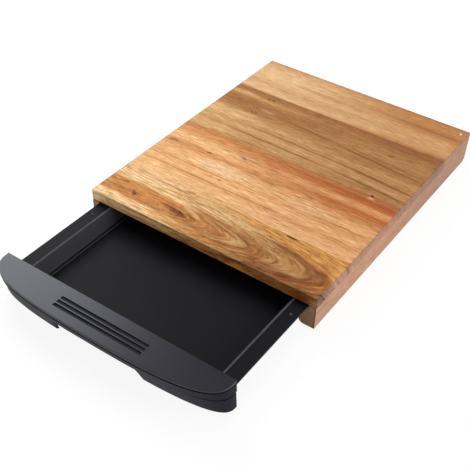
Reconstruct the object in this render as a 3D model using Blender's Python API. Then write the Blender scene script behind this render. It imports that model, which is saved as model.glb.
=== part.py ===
"""Wooden cutting board with a moulded drawer that slides under it on two rails.

Metres, +Z up, drawer towards -Y. The origin lies under the middle of the whole object, on the surface it
stands on, with the drawer part open.
"""

import math

import bmesh
import bpy
from mathutils import Matrix, Vector

# Board: four planks glued edge to edge, with the grain from side to side
BOARD_WIDTH = 0.280
FRONT_PLANK_WIDTH = 0.062
SECOND_PLANK_WIDTH = 0.099
THIRD_PLANK_WIDTH = 0.115
REAR_PLANK_WIDTH = 0.074
SLAB_THICKNESS = 0.013
BOARD_ARRIS = 0.0013
GLUE_LINE = 0.0003

# Rails under the board, each with a rebate along the top of its inner side
RAIL_WIDTH = 0.018
RAIL_HEIGHT = 0.0267
RAIL_SET_IN = 0.0005
REBATE_WIDTH = 0.010
REBATE_HEIGHT = 0.0035
RAIL_LOWER_ROUND = 0.0055
RAIL_UPPER_ROUND = 0.002
RAIL_ARRIS = 0.001
REAR_ROUND = 0.009

# Feet, let into the undersides of the rails
FOOT_RADIUS = 0.0047
FOOT_PROUD = 0.001
FOOT_POCKET_DEPTH = 0.0018
FOOT_CLEARANCE = 0.0003
FOOT_FROM_END = 0.022
FOOT_ARRIS = 0.0004

# How far the drawer stands open, and its clearances
DRAWER_OUT = 0.124
SIDE_SLACK = 0.001
RUNNING_GAP = 0.0003
RIM_CLEARANCE = 0.0004
TRAY_TO_SIDE_RAIL = 0.0055
TRAY_TO_REAR_RAIL = 0.010
TRAY_OFF_GROUND = 0.007
FRONT_OFF_GROUND = 0.006

# Tray
TRAY_WALL = 0.0025
TRAY_FLOOR = 0.002
TRAY_SIDE_LEAN = 0.0045
TRAY_BACK_LEAN = 0.003
TRAY_CORNER_ROUND = 0.008
TRAY_BOTTOM_ROUND = 0.0025
FLANGE_THICKNESS = 0.0018
FLOOR_STEP_WIDTH = 0.0025
FLOOR_STEP_HEIGHT = 0.001
NUB_RADIUS = 0.0014
NUB_ROUND = 0.00045
NUB_FROM_FRONT = 0.105

# Drawer front: top plate, and a body whose skirt leans in towards its foot
FRONT_SET_IN = 0.005
FRONT_DEPTH = 0.0375
FRONT_CURVE_POWER = 3
PLATE_THICKNESS = 0.003
PLATE_ARRIS = 0.0008
REVEAL_HEIGHT = 0.001
REVEAL_DEPTH = 0.0013
SKIRT_LEAN = 0.012
SKIRT_FLARE = 0.002
SKIRT_WALL = 0.0025
SKIRT_LOWER_ROUND = 0.0015
BODY_ARRIS = 0.0005
STEP_DROP = 0.0155
STEP_DEPTH = 0.0008
STEP_HEIGHT = 0.0006

# Finger notch in the lower band of the skirt
NOTCH_TOP_WIDTH = 0.100
NOTCH_FOOT_WIDTH = 0.108
NOTCH_BELOW_STEP = 0.0015
NOTCH_ROUND = 0.003

# Grip grooves in the plate
GROOVE_COUNT = 3
GROOVE_LENGTH = 0.103
GROOVE_WIDTH = 0.0028
GROOVE_PITCH = 0.0052
GROOVE_DEPTH = 0.0012
FIRST_GROOVE_FROM_BACK = 0.0147
GROOVE_END_ROUND = 0.0009

# Pegs under the plate and screws through the tray's front wall
PEG_COUNT = 4
PEG_RADIUS = 0.0025
PEG_PAST_WEB = 0.0015
PEG_CLEARANCE = 0.0003
PEG_FROM_BACK = 0.018
PEG_FROM_END = 0.045
BOSS_RADIUS = 0.004
BOSS_LENGTH = 0.008
SCREW_RADIUS = 0.0015
SCREW_CLEARANCE = 0.0003
SCREW_LENGTH = 0.011
SCREW_HEAD_RADIUS = 0.0032
SCREW_HEAD_HEIGHT = 0.0018
SCREW_ABOVE_FLOOR = 0.007
SCREW_FROM_SIDE = 0.0175
SCREW_SPACING = 0.028

# Overrun of every cut past the face it goes through
OVERRUN = 0.005
MERGE_DISTANCE = 0.00001

CURVE_STEPS = 56
ROUND_STEPS = 5
CIRCLE_SIDES = 24
SMOOTH_ANGLE = math.radians(35)

# Worked out from the values above, in a frame with its zero at the board's front edge and top face
PLANK_WIDTHS = {
    "front_plank": FRONT_PLANK_WIDTH,
    "second_plank": SECOND_PLANK_WIDTH,
    "third_plank": THIRD_PLANK_WIDTH,
    "rear_plank": REAR_PLANK_WIDTH,
}
BOARD_DEPTH = sum(PLANK_WIDTHS.values())
RAIL_TOP = -SLAB_THICKNESS - GLUE_LINE
RAIL_BOTTOM = RAIL_TOP - RAIL_HEIGHT
RAIL_OUTER = BOARD_WIDTH / 2 - RAIL_SET_IN
RAIL_INNER = RAIL_OUTER - RAIL_WIDTH
REBATE_OUTER = RAIL_INNER + REBATE_WIDTH
LEDGE = -SLAB_THICKNESS - REBATE_HEIGHT
FOOT_BOTTOM = RAIL_BOTTOM - FOOT_PROUD

FLANGE_BOTTOM = LEDGE + RUNNING_GAP
FLANGE_TOP = FLANGE_BOTTOM + FLANGE_THICKNESS
FLANGE_OUTER = REBATE_OUTER - SIDE_SLACK
RIM_TOP = -SLAB_THICKNESS - RIM_CLEARANCE
TRAY_HALF_OPENING = RAIL_INNER - TRAY_TO_SIDE_RAIL - TRAY_WALL
TRAY_BOTTOM = FOOT_BOTTOM + TRAY_OFF_GROUND
FLOOR_TOP = TRAY_BOTTOM + TRAY_FLOOR
TRAY_START = RUNNING_GAP
TRAY_END = TRAY_START + BOARD_DEPTH - RAIL_WIDTH - TRAY_TO_REAR_RAIL

FRONT_HALF_WIDTH = BOARD_WIDTH / 2 - FRONT_SET_IN
PLATE_BOTTOM = -PLATE_THICKNESS
SPIGOT_BOTTOM = PLATE_BOTTOM - REVEAL_HEIGHT
BODY_TOP = SPIGOT_BOTTOM - RUNNING_GAP
BODY_BOTTOM = FOOT_BOTTOM + FRONT_OFF_GROUND
WEB_BOTTOM = BODY_TOP - SKIRT_WALL
NOTCH_TOP = -STEP_DROP - NOTCH_BELOW_STEP
SCREW_Z = FLOOR_TOP + SCREW_ABOVE_FLOOR

BOARD_FRONT_Y = (DRAWER_OUT + FRONT_DEPTH - BOARD_DEPTH) / 2
BOARD_TOP_Z = -FOOT_BOTTOM


for old in list(bpy.data.objects):
    bpy.data.objects.remove(old)

parts = bpy.data.collections.new("cutting_board_with_drawer")
cutters = bpy.data.collections.new("cutters")
for collection in (parts, cutters):
    bpy.context.scene.collection.children.link(collection)


def make_material(name, colour, roughness, metallic=0.0):
    material = bpy.data.materials.new(name)
    material.use_nodes = True
    shader = material.node_tree.nodes["Principled BSDF"]
    shader.inputs["Base Color"].default_value = (*colour, 1.0)
    shader.inputs["Roughness"].default_value = roughness
    shader.inputs["Metallic"].default_value = metallic
    return material


def make_frame(name, location):
    """An empty that carries the pieces of one body, with its zero at the given place."""
    frame = bpy.data.objects.new(name, None)
    parts.objects.link(frame)
    frame.location = location
    return frame


def add_object(name, mesh, frame):
    piece = bpy.data.objects.new(name, mesh)
    parts.objects.link(piece)
    piece.parent = frame
    return piece


def finish_bmesh(name, shape, frame):
    mesh = bpy.data.meshes.new(name)
    bmesh.ops.recalc_face_normals(shape, faces=shape.faces[:])
    shape.to_mesh(mesh)
    shape.free()
    return add_object(name, mesh, frame)


def move_to_cutters(piece):
    parts.objects.unlink(piece)
    cutters.objects.link(piece)
    piece.hide_render = True
    piece.display_type = "WIRE"
    return piece


def add_boolean(piece, tool, operation):
    modifier = piece.modifiers.new(tool.name, "BOOLEAN")
    modifier.operation = operation
    modifier.solver = "EXACT"
    modifier.object = move_to_cutters(tool)


def cut(piece, *tools):
    for tool in tools:
        add_boolean(piece, tool, "DIFFERENCE")


def join(piece, *tools):
    for tool in tools:
        add_boolean(piece, tool, "UNION")


# Turns that lay a shape drawn along Z along another axis
TURNS = {
    "X": Matrix(((0, 0, 1), (1, 0, 0), (0, 1, 0))),
    "Y": Matrix(((1, 0, 0), (0, 0, -1), (0, 1, 0))),
    "Z": Matrix.Identity(3),
}


def finish_piece(piece, material):
    """Gives a piece its material, and smooth shading with its sharp edges kept."""
    piece.data.materials.append(material)
    piece.data.shade_smooth()
    piece.data.set_sharp_from_angle(angle=SMOOTH_ANGLE)
    return piece


def edge_middle(edge):
    return (edge.verts[0].co + edge.verts[1].co) / 2


def box(name, low, high, frame, arris=0.0, seams=()):
    """A box between two corners. The arris rounds its edges, apart from those on a seam at a given y."""
    shape = bmesh.new()
    bmesh.ops.create_cube(shape, size=1)
    size = Vector(high) - Vector(low)
    bmesh.ops.scale(shape, vec=size, verts=shape.verts)
    bmesh.ops.translate(shape, vec=(Vector(low) + Vector(high)) / 2, verts=shape.verts)
    if arris:
        edges = shape.edges[:]
        for seam in seams:
            edges = [edge for edge in edges if abs(edge_middle(edge).y - seam) > MERGE_DISTANCE]
        bmesh.ops.bevel(shape, geom=edges, offset=arris, segments=ROUND_STEPS, profile=0.5, affect="EDGES")
    return finish_bmesh(name, shape, frame)


def cylinders(name, centres, radius, low, high, along, frame, arris=0.0):
    """Like cylinders along Y or Z between two heights, one through each centre, which is given by its other
    two coordinates."""
    shape = bmesh.new()
    bmesh.ops.create_cone(
        shape, cap_ends=True, segments=CIRCLE_SIDES, radius1=radius, radius2=radius, depth=high - low
    )
    if arris:
        end = (high - low) / 2 - MERGE_DISTANCE
        rims = [edge for edge in shape.edges if abs(edge_middle(edge).z) > end]
        bmesh.ops.bevel(shape, geom=rims, offset=arris, segments=2, profile=0.5, affect="EDGES")
    bmesh.ops.transform(shape, matrix=TURNS[along].to_4x4(), verts=shape.verts)
    first = shape.verts[:] + shape.edges[:] + shape.faces[:]
    middle = (low + high) / 2
    for across, other in centres:
        place = (across, middle, other) if along == "Y" else (across, other, middle)
        copy = bmesh.ops.duplicate(shape, geom=first)["geom"]
        copied = [item for item in copy if isinstance(item, bmesh.types.BMVert)]
        bmesh.ops.translate(shape, vec=place, verts=copied)
    bmesh.ops.delete(shape, geom=[item for item in first if isinstance(item, bmesh.types.BMVert)])
    return finish_bmesh(name, shape, frame)


def rounded_outline(corners):
    """An outline through corners (x, y, radius), with an arc in place of each corner that has a radius."""
    points = []
    for index, (x, y, radius) in enumerate(corners):
        corner = Vector((x, y))
        if not radius:
            points.append(corner)
            continue
        before = Vector(corners[index - 1][:2]) - corner
        after = Vector(corners[(index + 1) % len(corners)][:2]) - corner
        half_angle = before.angle(after) / 2
        inward = (before.normalized() + after.normalized()).normalized()
        centre = corner + inward * radius / math.sin(half_angle)
        start = corner + before.normalized() * radius / math.tan(half_angle) - centre
        end = corner + after.normalized() * radius / math.tan(half_angle) - centre
        turn = start.angle_signed(end)
        for step in range(ROUND_STEPS + 1):
            angle = -turn * step / ROUND_STEPS
            points.append(centre + Matrix.Rotation(angle, 2) @ start)
    return points


def prism(name, outline, along, low, high, frame):
    """A flat outline carried along an axis: Y and Z along X, X and Z along Y, X and Y along Z."""
    curve = bpy.data.curves.new(name, "CURVE")
    curve.dimensions = "2D"
    curve.fill_mode = "BOTH"
    curve.extrude = (high - low) / 2
    spline = curve.splines.new("POLY")
    spline.points.add(len(outline) - 1)
    for point, place in zip(spline.points, outline):
        point.co = (*place, 0, 1)
    spline.use_cyclic_u = True
    flat = bpy.data.objects.new(name + "_outline", curve)
    parts.objects.link(flat)
    evaluated = flat.evaluated_get(bpy.context.evaluated_depsgraph_get())
    mesh = bpy.data.meshes.new_from_object(evaluated)
    shape = bmesh.new()
    shape.from_mesh(mesh)
    bpy.data.objects.remove(flat)
    bpy.data.meshes.remove(mesh)
    bmesh.ops.remove_doubles(shape, verts=shape.verts, dist=MERGE_DISTANCE)
    bmesh.ops.transform(shape, matrix=TURNS[along].to_4x4(), verts=shape.verts)
    axis = "XYZ".index(along)
    middle = [0, 0, 0]
    middle[axis] = (low + high) / 2
    bmesh.ops.translate(shape, vec=middle, verts=shape.verts)
    return finish_bmesh(name, shape, frame)


def tapered_box(name, top, bottom, top_z, bottom_z, corner_round, bottom_round, frame):
    """A tub with round corners between a top and a bottom rectangle (low x, low y, high x, high y)."""
    shape = bmesh.new()
    bmesh.ops.create_cube(shape, size=1)
    for vertex in shape.verts:
        low_x, low_y, high_x, high_y = top if vertex.co.z > 0 else bottom
        x = high_x if vertex.co.x > 0 else low_x
        y = high_y if vertex.co.y > 0 else low_y
        vertex.co = (x, y, top_z if vertex.co.z > 0 else bottom_z)
    upright = [edge for edge in shape.edges if edge.verts[0].co.z != edge.verts[1].co.z]
    bmesh.ops.bevel(
        shape, geom=upright, offset=corner_round, segments=ROUND_STEPS, profile=0.5, affect="EDGES"
    )
    if bottom_round:
        lower = [edge for edge in shape.edges if max(vertex.co.z for vertex in edge.verts) == bottom_z]
        bmesh.ops.bevel(shape, geom=lower, offset=bottom_round, segments=3, profile=0.5, affect="EDGES")
    return finish_bmesh(name, shape, frame)


def front_ring(half_width, depth, back):
    """Half a superellipse, closed by a straight back edge: x over half_width and y over depth, each to the
    power, add up to one."""
    points = []
    for step in range(CURVE_STEPS + 1):
        angle = math.pi * step / CURVE_STEPS
        along = abs(math.cos(angle)) ** (2 / FRONT_CURVE_POWER)
        out = abs(math.sin(angle)) ** (2 / FRONT_CURVE_POWER) if 0 < step < CURVE_STEPS else 0
        points.append((math.copysign(along, math.cos(angle)) * half_width, back - out * depth))
    return points


def front_loft(name, levels, frame):
    """A solid through rings of the front's outline, one above the other: (z, half width, depth, back)."""
    shape = bmesh.new()
    rings = []
    for z, half_width, depth, back in levels:
        rings.append([shape.verts.new((x, y, z)) for x, y in front_ring(half_width, depth, back)])
    for upper, lower in zip(rings, rings[1:]):
        for index in range(len(upper)):
            after = (index + 1) % len(upper)
            shape.faces.new((upper[index], lower[index], lower[after], upper[after]))
    shape.faces.new(rings[0])
    shape.faces.new(rings[-1][::-1])
    return finish_bmesh(name, shape, frame)


# Finishes
wood_front = make_material("acacia_golden", (0.53, 0.25, 0.07), 0.5)
wood_second = make_material("acacia_salmon", (0.64, 0.32, 0.14), 0.5)
wood_third = make_material("acacia_olive", (0.38, 0.20, 0.07), 0.5)
wood_rear = make_material("acacia_orange", (0.55, 0.29, 0.11), 0.5)
wood_rail = make_material("acacia_rail", (0.54, 0.33, 0.21), 0.55)
foot_rubber = make_material("foot_rubber", (0.03, 0.03, 0.03), 0.8)
tray_plastic = make_material("tray_plastic", (0.021, 0.021, 0.025), 0.4)
front_plastic = make_material("front_plastic", (0.035, 0.035, 0.04), 0.38)
screw_steel = make_material("screw_steel", (0.55, 0.55, 0.55), 0.35, 1.0)
PLANK_FINISHES = {
    "front_plank": wood_front,
    "second_plank": wood_second,
    "third_plank": wood_third,
    "rear_plank": wood_rear,
}

board = make_frame("board_frame", (0, BOARD_FRONT_Y, BOARD_TOP_Z))
drawer = make_frame("drawer_frame", (0, BOARD_FRONT_Y - DRAWER_OUT, BOARD_TOP_Z))


def make_planks():
    """Planks with tight seams, and an arris along every edge that lies on the outside of the board."""
    start = 0
    for name, width in PLANK_WIDTHS.items():
        end = start + width
        low_y = start + GLUE_LINE / 2
        high_y = end - GLUE_LINE / 2
        seams = [low_y, high_y]
        if name == "front_plank":
            low_y = start
        if name == "rear_plank":
            high_y = end
        low = (-BOARD_WIDTH / 2, low_y, -SLAB_THICKNESS)
        high = (BOARD_WIDTH / 2, high_y, 0)
        plank = box(name, low, high, board, BOARD_ARRIS, seams)
        finish_piece(plank, PLANK_FINISHES[name])
        start = end


def make_rear_corner_cutter(name, low_x, high_x):
    """What a round-over takes off the lower rear edge."""
    outline = rounded_outline(
        [
            (BOARD_DEPTH - REAR_ROUND, RAIL_BOTTOM, 0),
            (BOARD_DEPTH - REAR_ROUND, RAIL_BOTTOM - OVERRUN, 0),
            (BOARD_DEPTH + OVERRUN, RAIL_BOTTOM - OVERRUN, 0),
            (BOARD_DEPTH + OVERRUN, RAIL_BOTTOM + REAR_ROUND, 0),
            (BOARD_DEPTH, RAIL_BOTTOM + REAR_ROUND, 0),
        ]
    )
    centre = Vector((BOARD_DEPTH - REAR_ROUND, RAIL_BOTTOM + REAR_ROUND))
    for step in range(1, 2 * ROUND_STEPS):
        angle = math.pi / 2 * step / (2 * ROUND_STEPS)
        outline.append(centre + REAR_ROUND * Vector((math.cos(angle), -math.sin(angle))))
    return prism(name, outline, "X", low_x, high_x, board)


def foot_place(side, row):
    """The middle of the flat of a rail's underside, at a named distance from the rail's end."""
    flat_inner = RAIL_INNER + RAIL_LOWER_ROUND
    flat_outer = RAIL_OUTER - RAIL_ARRIS
    y = FOOT_FROM_END if row == "front" else BOARD_DEPTH - FOOT_FROM_END
    return side * (flat_inner + flat_outer) / 2, y


def make_side_rail(name, side):
    corners = [
        (RAIL_OUTER, RAIL_TOP, RAIL_ARRIS),
        (REBATE_OUTER, RAIL_TOP, 0),
        (REBATE_OUTER, LEDGE, 0),
        (RAIL_INNER, LEDGE, RAIL_UPPER_ROUND),
        (RAIL_INNER, RAIL_BOTTOM, RAIL_LOWER_ROUND),
        (RAIL_OUTER, RAIL_BOTTOM, RAIL_ARRIS),
    ]
    outline = rounded_outline([(side * x, z, radius) for x, z, radius in corners])
    rail = prism(name, outline, "Y", 0, BOARD_DEPTH, board)
    ends = sorted((side * (RAIL_INNER - OVERRUN), side * (RAIL_OUTER + OVERRUN)))
    cut(rail, make_rear_corner_cutter(name + "_rear_round", *ends))
    pockets = cylinders(
        name + "_foot_pockets", [foot_place(side, "front"), foot_place(side, "rear")],
        FOOT_RADIUS + FOOT_CLEARANCE, RAIL_BOTTOM - OVERRUN, RAIL_BOTTOM + FOOT_POCKET_DEPTH, "Z", board,
    )
    cut(rail, pockets)
    finish_piece(rail, wood_rail)


def make_rear_rail():
    """A cross piece glued between the side rails, flush with the back of the board."""
    low = (-RAIL_INNER + GLUE_LINE, BOARD_DEPTH - RAIL_WIDTH, RAIL_BOTTOM)
    high = (RAIL_INNER - GLUE_LINE, BOARD_DEPTH, RAIL_TOP)
    rail = box("rear_rail", low, high, board)
    cut(rail, make_rear_corner_cutter("rear_rail_round", low[0] - OVERRUN, high[0] + OVERRUN))
    finish_piece(rail, wood_rail)


def make_feet():
    for side_name, side in (("left", -1), ("right", 1)):
        for row in ("front", "rear"):
            top = RAIL_BOTTOM + FOOT_POCKET_DEPTH - FOOT_CLEARANCE
            foot = cylinders(
                f"{row}_{side_name}_foot", [foot_place(side, row)], FOOT_RADIUS, FOOT_BOTTOM, top, "Z",
                board, FOOT_ARRIS,
            )
            finish_piece(foot, foot_rubber)


def tray_rectangle(z, wall):
    """The tray's inside at a height, moved out by a wall: low x, low y, high x, high y."""
    drop_share = (RIM_TOP - z) / (RIM_TOP - FLOOR_TOP)
    half = TRAY_HALF_OPENING - TRAY_SIDE_LEAN * drop_share + wall
    back = TRAY_END - TRAY_WALL - TRAY_BACK_LEAN * drop_share + wall
    return -half, TRAY_START + TRAY_WALL - wall, half, back


def screw_centres():
    """Two screws near each side of the tray, by x and z."""
    outer = TRAY_HALF_OPENING - SCREW_FROM_SIDE
    inner = outer - SCREW_SPACING
    return [(x, SCREW_Z) for x in (-outer, -inner, inner, outer)]


def peg_centres():
    """Pegs at equal spacing between the two ends of the plate, by x and y."""
    outer = FRONT_HALF_WIDTH - PEG_FROM_END
    spacing = 2 * outer / (PEG_COUNT - 1)
    return [(-outer + spacing * index, -PEG_FROM_BACK) for index in range(PEG_COUNT)]


def make_tray():
    """A tub whose wall tops stand a little above the flanges that run in the rebates."""
    tray = tapered_box(
        "drawer_tray", tray_rectangle(RIM_TOP, TRAY_WALL), tray_rectangle(TRAY_BOTTOM, TRAY_WALL), RIM_TOP,
        TRAY_BOTTOM, TRAY_CORNER_ROUND + TRAY_WALL, TRAY_BOTTOM_ROUND, drawer,
    )
    rim_middle = TRAY_HALF_OPENING + TRAY_WALL / 2
    for side_name, side in (("left", -1), ("right", 1)):
        ends = sorted((side * rim_middle, side * FLANGE_OUTER))
        low = (ends[0], TRAY_START, FLANGE_BOTTOM)
        high = (ends[1], TRAY_END, FLANGE_TOP)
        flange = box(f"{side_name}_flange", low, high, drawer)
        flange_middle = (rim_middle + TRAY_WALL / 2 + FLANGE_OUTER) / 2
        nub = cylinders(
            f"{side_name}_nub", [(side * flange_middle, TRAY_START + NUB_FROM_FRONT)], NUB_RADIUS,
            FLANGE_TOP - FLANGE_THICKNESS / 2, RIM_TOP, "Z", drawer, NUB_ROUND,
        )
        join(tray, flange, nub)
    step_top = FLOOR_TOP + FLOOR_STEP_HEIGHT
    hollow = tapered_box(
        "tray_hollow", tray_rectangle(RIM_TOP + OVERRUN, 0), tray_rectangle(step_top, 0), RIM_TOP + OVERRUN,
        step_top, TRAY_CORNER_ROUND, 0, drawer,
    )
    floor_recess = tapered_box(
        "tray_floor_recess", tray_rectangle(step_top + FLOOR_STEP_HEIGHT, -FLOOR_STEP_WIDTH),
        tray_rectangle(FLOOR_TOP, -FLOOR_STEP_WIDTH), step_top + FLOOR_STEP_HEIGHT, FLOOR_TOP,
        TRAY_CORNER_ROUND, 0, drawer,
    )
    cut(tray, hollow, floor_recess)
    bores = cylinders(
        "tray_screw_bores", screw_centres(), SCREW_RADIUS + SCREW_CLEARANCE, TRAY_START - OVERRUN,
        TRAY_START + TRAY_WALL + OVERRUN, "Y", drawer,
    )
    cut(tray, bores)
    finish_piece(tray, tray_plastic)


def body_level(z, inset, back=0.0):
    """One level of the body, which leans in at the front and flares at the ends towards its foot."""
    drop_share = (BODY_TOP - z) / (BODY_TOP - BODY_BOTTOM)
    half_width = FRONT_HALF_WIDTH + SKIRT_FLARE * drop_share - inset
    depth = FRONT_DEPTH - SKIRT_LEAN * drop_share - inset + back
    return z, half_width, depth, back


def make_front_body():
    """A moulding open underneath, with a step round its skirt and a notch for the fingers."""
    body = front_loft(
        "drawer_front_body",
        [
            body_level(BODY_TOP, BODY_ARRIS),
            body_level(BODY_TOP - BODY_ARRIS, 0),
            body_level(-STEP_DROP, 0),
            body_level(-STEP_DROP - STEP_HEIGHT, STEP_DEPTH),
            body_level(BODY_BOTTOM + SKIRT_LOWER_ROUND, STEP_DEPTH),
            body_level(BODY_BOTTOM, STEP_DEPTH + SKIRT_LOWER_ROUND),
        ],
        drawer,
    )
    wall = STEP_DEPTH + SKIRT_WALL
    hollow = front_loft(
        "body_hollow",
        [body_level(WEB_BOTTOM, wall, -SKIRT_WALL), body_level(BODY_BOTTOM - OVERRUN, wall, -SKIRT_WALL)],
        drawer,
    )
    cut(body, hollow)
    notch_half = NOTCH_TOP_WIDTH / 2
    notch_slope = (NOTCH_FOOT_WIDTH - NOTCH_TOP_WIDTH) / 2 / (NOTCH_TOP - BODY_BOTTOM)
    foot_half = NOTCH_FOOT_WIDTH / 2 + notch_slope * OVERRUN
    outline = rounded_outline(
        [
            (-foot_half, BODY_BOTTOM - OVERRUN, 0),
            (-notch_half, NOTCH_TOP, NOTCH_ROUND),
            (notch_half, NOTCH_TOP, NOTCH_ROUND),
            (foot_half, BODY_BOTTOM - OVERRUN, 0),
        ]
    )
    notch = prism("finger_notch", outline, "Y", -FRONT_DEPTH - OVERRUN, -SKIRT_WALL - BOSS_LENGTH, drawer)
    cut(body, notch)
    boss_front = -SKIRT_WALL - BOSS_LENGTH
    bosses = cylinders(
        "screw_bosses", screw_centres(), BOSS_RADIUS, boss_front, -SKIRT_WALL / 2, "Y", drawer
    )
    join(body, bosses)
    bores = cylinders(
        "boss_bores", screw_centres(), SCREW_RADIUS + SCREW_CLEARANCE, boss_front - OVERRUN, OVERRUN,
        "Y", drawer,
    )
    sockets = cylinders(
        "peg_sockets", peg_centres(), PEG_RADIUS + PEG_CLEARANCE, WEB_BOTTOM - OVERRUN,
        BODY_TOP + OVERRUN, "Z", drawer,
    )
    cut(body, bores, sockets)
    finish_piece(body, front_plastic)


def make_front_plate():
    """The plate, flush with the board's top, on a smaller step that leaves a dark line under its edge."""
    half = FRONT_HALF_WIDTH
    plate = front_loft(
        "drawer_front_plate",
        [
            (0, half - PLATE_ARRIS, FRONT_DEPTH - PLATE_ARRIS, 0),
            (-PLATE_ARRIS, half, FRONT_DEPTH, 0),
            (PLATE_BOTTOM, half, FRONT_DEPTH, 0),
            (PLATE_BOTTOM, half - REVEAL_DEPTH, FRONT_DEPTH - 2 * REVEAL_DEPTH, -REVEAL_DEPTH),
            (SPIGOT_BOTTOM, half - REVEAL_DEPTH, FRONT_DEPTH - 2 * REVEAL_DEPTH, -REVEAL_DEPTH),
        ],
        drawer,
    )
    pegs = cylinders(
        "plate_pegs", peg_centres(), PEG_RADIUS, WEB_BOTTOM - PEG_PAST_WEB,
        SPIGOT_BOTTOM + REVEAL_HEIGHT / 2, "Z", drawer,
    )
    join(plate, pegs)
    for row in range(GROOVE_COUNT):
        y = -FIRST_GROOVE_FROM_BACK - GROOVE_PITCH * row
        outline = rounded_outline(
            [
                (-GROOVE_LENGTH / 2, y - GROOVE_WIDTH / 2, GROOVE_END_ROUND),
                (GROOVE_LENGTH / 2, y - GROOVE_WIDTH / 2, GROOVE_END_ROUND),
                (GROOVE_LENGTH / 2, y + GROOVE_WIDTH / 2, GROOVE_END_ROUND),
                (-GROOVE_LENGTH / 2, y + GROOVE_WIDTH / 2, GROOVE_END_ROUND),
            ]
        )
        cut(plate, prism(f"grip_groove_{row}", outline, "Z", -GROOVE_DEPTH, OVERRUN, drawer))
    finish_piece(plate, front_plastic)


def make_screws():
    """Four pan head screws, driven forwards from inside the tray into the bosses of the front body."""
    head_low = TRAY_START + TRAY_WALL + RUNNING_GAP
    head_high = head_low + SCREW_HEAD_HEIGHT
    head_middle = (head_low + head_high) / 2
    for index, centre in enumerate(screw_centres()):
        screw = cylinders(
            f"drawer_front_screw_{index + 1}", [centre], SCREW_HEAD_RADIUS, head_low, head_high, "Y",
            drawer, SCREW_HEAD_HEIGHT / 3,
        )
        shaft = cylinders(
            f"screw_shaft_{index + 1}", [centre], SCREW_RADIUS, head_low - SCREW_LENGTH, head_middle,
            "Y", drawer,
        )
        join(screw, shaft)
        finish_piece(screw, screw_steel)


make_planks()
make_side_rail("left_rail", -1)
make_side_rail("right_rail", 1)
make_rear_rail()
make_feet()
make_tray()
make_front_body()
make_front_plate()
make_screws()
bpy.context.view_layer.update()
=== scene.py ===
"""Looks of a wooden cutting board with a moulded drawer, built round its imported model.

Metres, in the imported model's own frame: +Z up, drawer towards -Y.
"""

import math

import bmesh
import bpy
import numpy as np
from mathutils import Matrix, Vector


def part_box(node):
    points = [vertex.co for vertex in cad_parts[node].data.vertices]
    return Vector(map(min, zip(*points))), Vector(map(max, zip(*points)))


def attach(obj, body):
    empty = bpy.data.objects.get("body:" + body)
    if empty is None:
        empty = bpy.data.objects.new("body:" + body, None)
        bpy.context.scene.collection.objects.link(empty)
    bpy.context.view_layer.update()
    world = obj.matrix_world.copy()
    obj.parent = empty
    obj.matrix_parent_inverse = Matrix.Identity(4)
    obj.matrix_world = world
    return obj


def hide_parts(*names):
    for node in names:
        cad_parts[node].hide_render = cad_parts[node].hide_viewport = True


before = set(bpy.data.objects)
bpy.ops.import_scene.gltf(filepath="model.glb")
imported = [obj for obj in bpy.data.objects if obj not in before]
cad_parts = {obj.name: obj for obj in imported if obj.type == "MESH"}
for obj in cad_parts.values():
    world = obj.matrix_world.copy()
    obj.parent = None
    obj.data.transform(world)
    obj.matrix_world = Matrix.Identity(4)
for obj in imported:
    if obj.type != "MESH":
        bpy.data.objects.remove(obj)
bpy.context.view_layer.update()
scene = bpy.context.scene


# Camera. It looks down on the board past its front right corner. Its place, turns and lens come from the
# board's corners and edges in the photograph.
EYE = (0.4001, -0.62695, 0.6116)
TURN, TILT, ROLL = math.radians(33.69), math.radians(49.82), math.radians(2.12)
LENS_MM = 67.56

camera = bpy.data.objects.new("camera", bpy.data.cameras.new("camera"))
scene.collection.objects.link(camera)
camera.data.lens = LENS_MM
aim = Matrix.Rotation(TURN, 4, "Z") @ Matrix.Rotation(TILT, 4, "X") @ Matrix.Rotation(ROLL, 4, "Z")
camera.matrix_world = Matrix.Translation(EYE) @ aim
scene.camera = camera
scene.view_settings.view_transform = "Standard"


# Studio. A white floor and a low white surround that fades into a dim ceiling, one near window-like softbox
# on the left, a soft one overhead and a weak one on the right.
FLOOR_HALF = 6.0
SURROUND_TOP = math.sin(math.radians(8))
CEILING_FROM = math.sin(math.radians(30))
CEILING_LEVEL = 0.24
FLOOR_GLOW = 0.9
FLOOR_SHADE = 0.14
FLOOR_BOUNCE = 0.7
AIMED_AT = Vector((0, 0.02, 0.03))


def linear(hex_colour):
    """An sRGB hex colour as linear red, green, blue and a full alpha."""
    parts = np.array([int(hex_colour[i:i + 2], 16) for i in (1, 3, 5)]) / 255
    light = np.where(parts <= 0.04045, parts / 12.92, ((parts + 0.055) / 1.055) ** 2.4)
    return (*light.tolist(), 1.0)


def add(tree, kind, *values, **named):
    """Adds a node and gives its first output. Values go to its inputs in order, and one named with a capital
    to the input of that name, with _ for a space. Any other name is a setting. Sockets are linked, the rest
    is set."""
    node = tree.nodes.new("ShaderNode" + kind)
    for name, value in named.items():
        if name[0].islower():
            setattr(node, name, value)
    wanted = list(zip([socket for socket in node.inputs if socket.enabled], values))
    for name, value in named.items():
        if name[0].isupper():
            wanted.append((node.inputs[name.replace("_", " ")], value))
    for socket, value in wanted:
        if isinstance(value, bpy.types.NodeSocket):
            tree.links.new(value, socket)
        else:
            socket.default_value = value
    return next((socket for socket in node.outputs if socket.enabled), None)


def new_tree(owner):
    owner.use_nodes = True
    owner.node_tree.nodes.clear()
    return owner.node_tree


world = bpy.data.worlds.new("studio")
scene.world = world
tree = new_tree(world)
upward = add(tree, "SeparateXYZ", add(tree, "TexCoord")).node.outputs["Z"]
level = add(tree, "MapRange", upward, SURROUND_TOP, CEILING_FROM, 1.0, CEILING_LEVEL)
add(tree, "OutputWorld", add(tree, "Background", (1, 1, 1, 1), level))

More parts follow.
